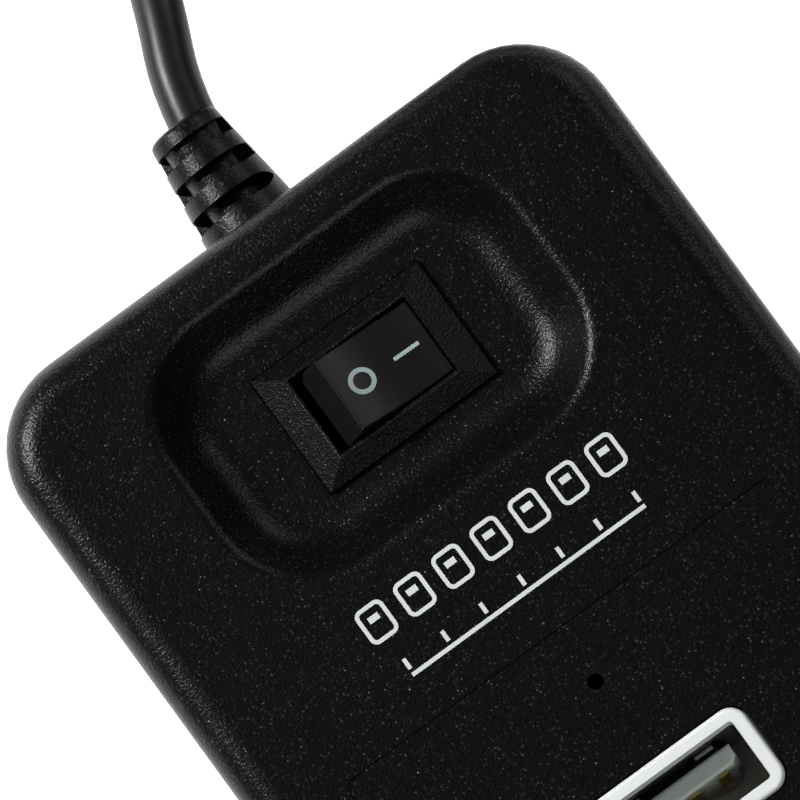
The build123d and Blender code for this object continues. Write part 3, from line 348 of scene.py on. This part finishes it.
# %% Bezel and rocker
bezel_plastic = eroded_plastic("bezel_plastic", (0.0030, 0.0030, 0.0032), 0.19 * mm, 0.050 * mm, 0.36)
dress(bezel_plastic, "switch_plastic", "switch_housing")


def satin_plastic(name, color, roughness, ripple=0.004 * mm, gloss=0.3):
    """Moulded plastic from a polished mould, with a faint ripple and finger marks."""
    material, shader, place = new_finish(name, color, roughness)
    feed(shader, "Specular IOR Level", gloss)
    smear = lumps(place, 2.5 * mm, detail=4.0)
    feed(shader, "Base Color", mixed(smear, [0.9 * c for c in color], [1.1 * c for c in color]))
    feed(shader, "Roughness", roughness + 0.12 * (smear - 0.5))
    feed(shader, "Normal", raised(lumps(place, 0.5 * mm, detail=3.0), ripple))
    return material


rocker_plastic = satin_plastic("rocker_plastic", (0.006, 0.006, 0.0062), 0.34)
dress(rocker_plastic, "rocker_plastic", "switch_rocker")

# %% [markdown]
# ## Socket frames
#
# The frames are white ABS, clean and slightly glossy. Pure white plastic looks like paper in a
# render, so a little light is let into it and a faint mottle keeps the surface alive.

# %% White plastic
def white_moulding(name, color, roughness):
    """White plastic that lets a little light in."""
    material, shader, place = new_finish(name, color, roughness)
    cloud = lumps(place, 3 * mm, detail=2.0)
    feed(shader, "Base Color", mixed(cloud, [0.96 * c for c in color], color))
    feed(shader, "Roughness", roughness + 0.1 * (lumps(place, 0.4 * mm) - 0.5))
    feed(shader, "Normal", raised(lumps(place, 0.25 * mm), 0.004 * mm))
    feed(shader, "Subsurface Weight", 0.15)
    feed(shader, "Subsurface Scale", 0.6 * mm)
    return material


ports = range(1, 8)
frame_plastic = white_moulding("frame_plastic", (0.78, 0.81, 0.81), 0.33)
dress(frame_plastic, "white_plastic", *[f"port_frame_{n}" for n in ports])
tongue_plastic = white_moulding("tongue_plastic", (0.42, 0.46, 0.43), 0.42)
dress(
    tongue_plastic, "tongue_plastic", "plug_insulator", "switch_plunger", *[f"port_tongue_{n}" for n in ports]
)

# %% [markdown]
# ## Metals
#
# Socket shells are folded from nickel-plated strip, which is drawn through rollers and keeps faint
# lines along its length. Stretching a noise in one direction makes such lines. The contacts have a
# thin flash of gold, smooth and warm.

# %% Rolled strip, gold flash, screws and solder
def rolled_metal(name, color, roughness, grain_length):
    """Plated sheet with faint lines along Z, as the strip was rolled."""
    grain_width = 0.08 * mm
    material, shader, place = new_finish(name, color, roughness, metallic=1.0)
    lines = lumps(place, grain_width, detail=3.0, stretch=(1, 1, grain_width / grain_length))
    stains = lumps(place, 1.5 * mm, detail=4.0)
    feed(shader, "Base Color", mixed(stains, [0.8 * c for c in color], color))
    feed(shader, "Roughness", roughness + 0.25 * (lines - 0.5) + 0.15 * (stains - 0.5))
    feed(shader, "Normal", raised(lines, 0.003 * mm))
    return material


shell_metal = rolled_metal("shell_metal", (0.56, 0.55, 0.52), 0.32, 1.5 * mm)
dress(shell_metal, "socket_steel", "plug_shell", *[f"port_shell_{n}" for n in ports])
contact_gold = rolled_metal("contact_gold", (0.90, 0.66, 0.27), 0.25, 0.8 * mm)
dress(
    contact_gold, "gold_contact", "plug_contacts", "contact_arm", *[f"port_contacts_{n}" for n in ports]
)
screw_steel = rolled_metal("screw_steel", (0.30, 0.30, 0.31), 0.38, 0.5 * mm)
dress(screw_steel, "screw_steel", "case_screws", "board_screws", "switch_spring")
tinned_metal = rolled_metal("tinned_metal", (0.66, 0.66, 0.63), 0.30, 0.5 * mm)
dress(tinned_metal, "tinned_metal", "switch_terminals", "led_legs", "inlet_pins")
can_metal = rolled_metal("can_metal", (0.70, 0.70, 0.71), 0.28, 2.0 * mm)
dress(can_metal, "can_metal", "crystals", "capacitors")

# %% [markdown]
# ## Rubber and cord
#
# The strain relief and the cord's jacket are soft PVC. The relief has the mould's dull sandy skin
# with painted glints, and the jacket was drawn through a hot die, so it is smoother and carries a long
# soft highlight. The feet are plain matt rubber, with the relief's painted glints.

# %% Strain relief, feet, plug grip and jacket
relief_rubber = eroded_plastic("relief_rubber", (0.004, 0.004, 0.0042), 0.22 * mm, 0.040 * mm, 0.34)
dress(relief_rubber, "rubber", "strain_relief", "rubber_feet")
plug_rubber = eroded_plastic("plug_rubber", (0.006, 0.006, 0.0062), 0.26 * mm, 0.045 * mm, 0.40)
dress(plug_rubber, "plug_plastic", "plug_overmould")
tie_plastic = satin_plastic("tie_plastic", (0.010, 0.010, 0.010), 0.30, ripple=0.01 * mm)
dress(tie_plastic, "tie_plastic", "cord_tie")
jacket_plastic = satin_plastic("jacket_plastic", (0.0075, 0.0075, 0.008), 0.38, ripple=0.012 * mm)
cord_curve.materials.append(jacket_plastic)

# %% [markdown]
# ## Inside the casing
#
# The board and what stands on it show only through the sockets, but a socket seen from above lets
# the eye far in, and an open model can be taken apart. Solder mask is a thin glossy green coat over
# woven glass, so its grain is finer and its gloss comes from a clear coat.

# %% Board, chips, indicator and leads
board_green, board_shader, board_place = new_finish("board_green", (0.02, 0.11, 0.05), 0.45)
weave = lumps(board_place, 0.5 * mm, detail=2.0, stretch=(1, 0.5, 1))
feed(board_shader, "Base Color", mixed(weave, (0.012, 0.08, 0.035), (0.03, 0.15, 0.07)))
feed(board_shader, "Coat Weight", 0.6)
feed(board_shader, "Normal", raised(weave, 0.01 * mm))
dress(board_green, "board_green", "circuit_board")
chip_black = eroded_plastic("chip_black", (0.02, 0.02, 0.02), 0.15 * mm, 0.01 * mm, 0.5)
dress(chip_black, "chip_black", "hub_chips", "resistors", "inlet_body")
led_lens = satin_plastic("led_lens", (0.03, 0.003, 0.003), 0.25)
dress(led_lens, "led_lens", "indicator_led")
lead_insulation = satin_plastic("lead_insulation", (0.28, 0.02, 0.02), 0.40)
dress(lead_insulation, "lead_insulation", "cord_leads", "switch_leads")

# %% [markdown]
# ## Printed marks
#
# White print sits between the dish and the first socket, and the rocker carries a ring and a bar.
# Print is a film of ink, a few hundredths of a millimetre thick. It could be painted with a mask in
# the casing's material, but a mask drawn in nodes is blurry close by. Here each mark is a thin
# mesh, let down on to the surface below it, so its edges stay crisp on the curved rocker as well.
# The marks are plain: small drawings of sockets and a rule below them.

# %% Let a flat drawing down on to a node of the frame
ink_lift = 0.03 * mm
ink_spacing = 0.25 * mm  # between the points of an edge, fine enough to follow a curve
above = 10 * mm  # height from which the drawing is let down
weld_distance = 0.001 * mm


def surface_below(name):
    """A function that gives the height of a node's surface under a point in plan."""
    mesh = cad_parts[name].data
    tree = BVHTree.FromPolygons([v.co for v in mesh.vertices], [p.vertices for p in mesh.polygons])

    def height(x, y):
        return tree.ray_cast(Vector((x, y, casing_top + above)), Vector((0, 0, -1)))[0].z

    return height


def print_marks(name, bands, on_node, body, material):
    """A thin mesh of ink bands. A band is a pair of edges, each a list of points in plan."""
    height = surface_below(on_node)
    drawing = bmesh.new()
    for left, right in bands:
        rows = [
            [drawing.verts.new((x, y, height(x, y) + ink_lift)) for x, y in pair]
            for pair in zip(left, right)
        ]
        for (a, b), (c, d) in zip(rows, rows[1:]):
            drawing.faces.new((a, b, d, c))
    bmesh.ops.remove_doubles(drawing, verts=drawing.verts, dist=weld_distance)
    bmesh.ops.recalc_face_normals(drawing, faces=drawing.faces)
    mesh = bpy.data.meshes.new(name)
    drawing.to_mesh(mesh)
    drawing.free()
    mesh.materials.append(material)
    piece = bpy.data.objects.new(name, mesh)
    bpy.context.scene.collection.objects.link(piece)
    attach(piece, body)
    print(f"{name}: {len(mesh.polygons)} faces")


# %% Bands of ink: a bar, and a closed outline with round corners
def bar(x, y, length, width):
    """A straight bar along X, by its middle."""
    steps = max(2, round(length / ink_spacing))
    xs = [x + length * (i / steps - 0.5) for i in range(steps + 1)]
    return [(px, y - width / 2) for px in xs], [(px, y + width / 2) for px in xs]


def outline(x, y, length, width, corner, stroke):
    """A closed band along a rectangle with round corners, by its middle line."""
    inner, outer = [], []
    steps = 8  # to a corner
    for quarter, (sx, sy) in enumerate(((1, 1), (-1, 1), (-1, -1), (1, -1))):
        cx, cy = x + sx * (length / 2 - corner), y + sy * (width / 2 - corner)
        for step in range(steps + 1):
            angle = math.pi / 2 * (quarter + step / steps)
            for edge, radius in ((inner, corner - stroke / 2), (outer, corner + stroke / 2)):
                edge.append((cx + radius * math.cos(angle), cy + radius * math.sin(angle)))
    return inner + inner[:1], outer + outer[:1]


# %% The marks on the casing
ink_white = satin_plastic("ink_white", (0.60, 0.64, 0.63), 0.5)
row_y = cord_end_y - 30.0 * mm
rule_y = cord_end_y - 34.7 * mm
icon_pitch = 3.45 * mm
icon_width = 2.1 * mm
icon_height = 2.6 * mm
icon_corner = 0.45 * mm
tongue_mark = (0.9 * mm, 0.5 * mm)
tongue_mark_rise = 0.35 * mm  # above the drawing's middle
tick_height = 0.9 * mm
stroke = 0.32 * mm
casing_bands = []
icon_count = len(ports)
for number in range(icon_count):
    icon_x = (number - (icon_count - 1) / 2) * icon_pitch
    casing_bands.append(outline(icon_x, row_y, icon_width, icon_height, icon_corner, stroke))
    casing_bands.append(bar(icon_x, row_y + tongue_mark_rise, *tongue_mark))
    casing_bands.append(bar(icon_x, rule_y + tick_height, stroke, tick_height))
casing_bands.append(bar(0, rule_y, (icon_count - 1) * icon_pitch + stroke, stroke))
print_marks("casing_print", casing_bands, "top_shell", "casing", ink_white)

# %% The ring and the bar on the rocker
ink_grey = satin_plastic("ink_grey", (0.32, 0.40, 0.40), 0.5)
ring_x = -0.82 * mm
ring_width = 1.7 * mm
ring_stroke = 0.36 * mm
bar_x = 3.05 * mm
bar_size = (2.2 * mm, 0.3 * mm)
hair = 0.001 * mm  # keeps the ring's sides from closing up
rocker_bands = [
    outline(ring_x, switch_y, ring_width, ring_width, ring_width / 2 - hair, ring_stroke),
    bar(bar_x, switch_y, *bar_size),
]
print_marks("rocker_print", rocker_bands, "switch_rocker", "rocker", ink_grey)

# %% [markdown]
# ## Table and light
#
# A black object on a white table is lit from one side: a soft lamp near the upper left rakes over
# the grain and picks out the rolled edges, and everything else stays dim so that black stays black.
# The table gives back a plain white without a hard shadow.

# %% Table
table_mesh = bpy.data.meshes.new("table")
table_half = 3.0  # metres
table_corners = [(x * table_half, y * table_half, 0) for x, y in ((-1, -1), (1, -1), (1, 1), (-1, 1))]
table_mesh.from_pydata(table_corners, [], [(0, 1, 2, 3)])
table = bpy.data.objects.new("table", table_mesh)
bpy.context.scene.collection.objects.link(table)
table_white = bpy.data.materials.new("table_white")
table_white.use_nodes = True
table_shader = table_white.node_tree.nodes["Principled BSDF"]
feed(table_shader, "Base Color", (0.9, 0.9, 0.9, 1))
feed(table_shader, "Roughness", 0.8)
feed(table_shader, "Emission Color", (1, 1, 1, 1))
feed(table_shader, "Emission Strength", 0.95)
table_mesh.materials.append(table_white)

# %% Lamps
def lamp(name, direction, distance, size, power):
    """A square soft lamp that shines at the middle of the picture."""
    made = bpy.data.objects.new(name, bpy.data.lights.new(name, "AREA"))
    bpy.context.scene.collection.objects.link(made)
    made.data.size = size
    made.data.energy = power
    back = Vector(direction).normalized()
    made.location = camera_aim + distance * back
    made.rotation_euler = back.to_track_quat("Z", "Y").to_euler()


lamp("key_lamp", (-0.70, 0.66, 0.78), 0.6, 0.10, 4.8)
lamp("fill_lamp", (0.75, 0.35, 0.55), 0.8, 0.25, 0.9)
lamp("tail_lamp", (-0.1, -1.0, 1.0), 1.0, 0.3, 2.2)
world = bpy.data.worlds.new("room")
world.use_nodes = True
background = world.node_tree.nodes["Background"]
feed(background, "Color", (1, 1, 1, 1))
feed(background, "Strength", 0.05)
bpy.context.scene.world = world
bpy.context.scene.view_settings.view_transform = "Standard"
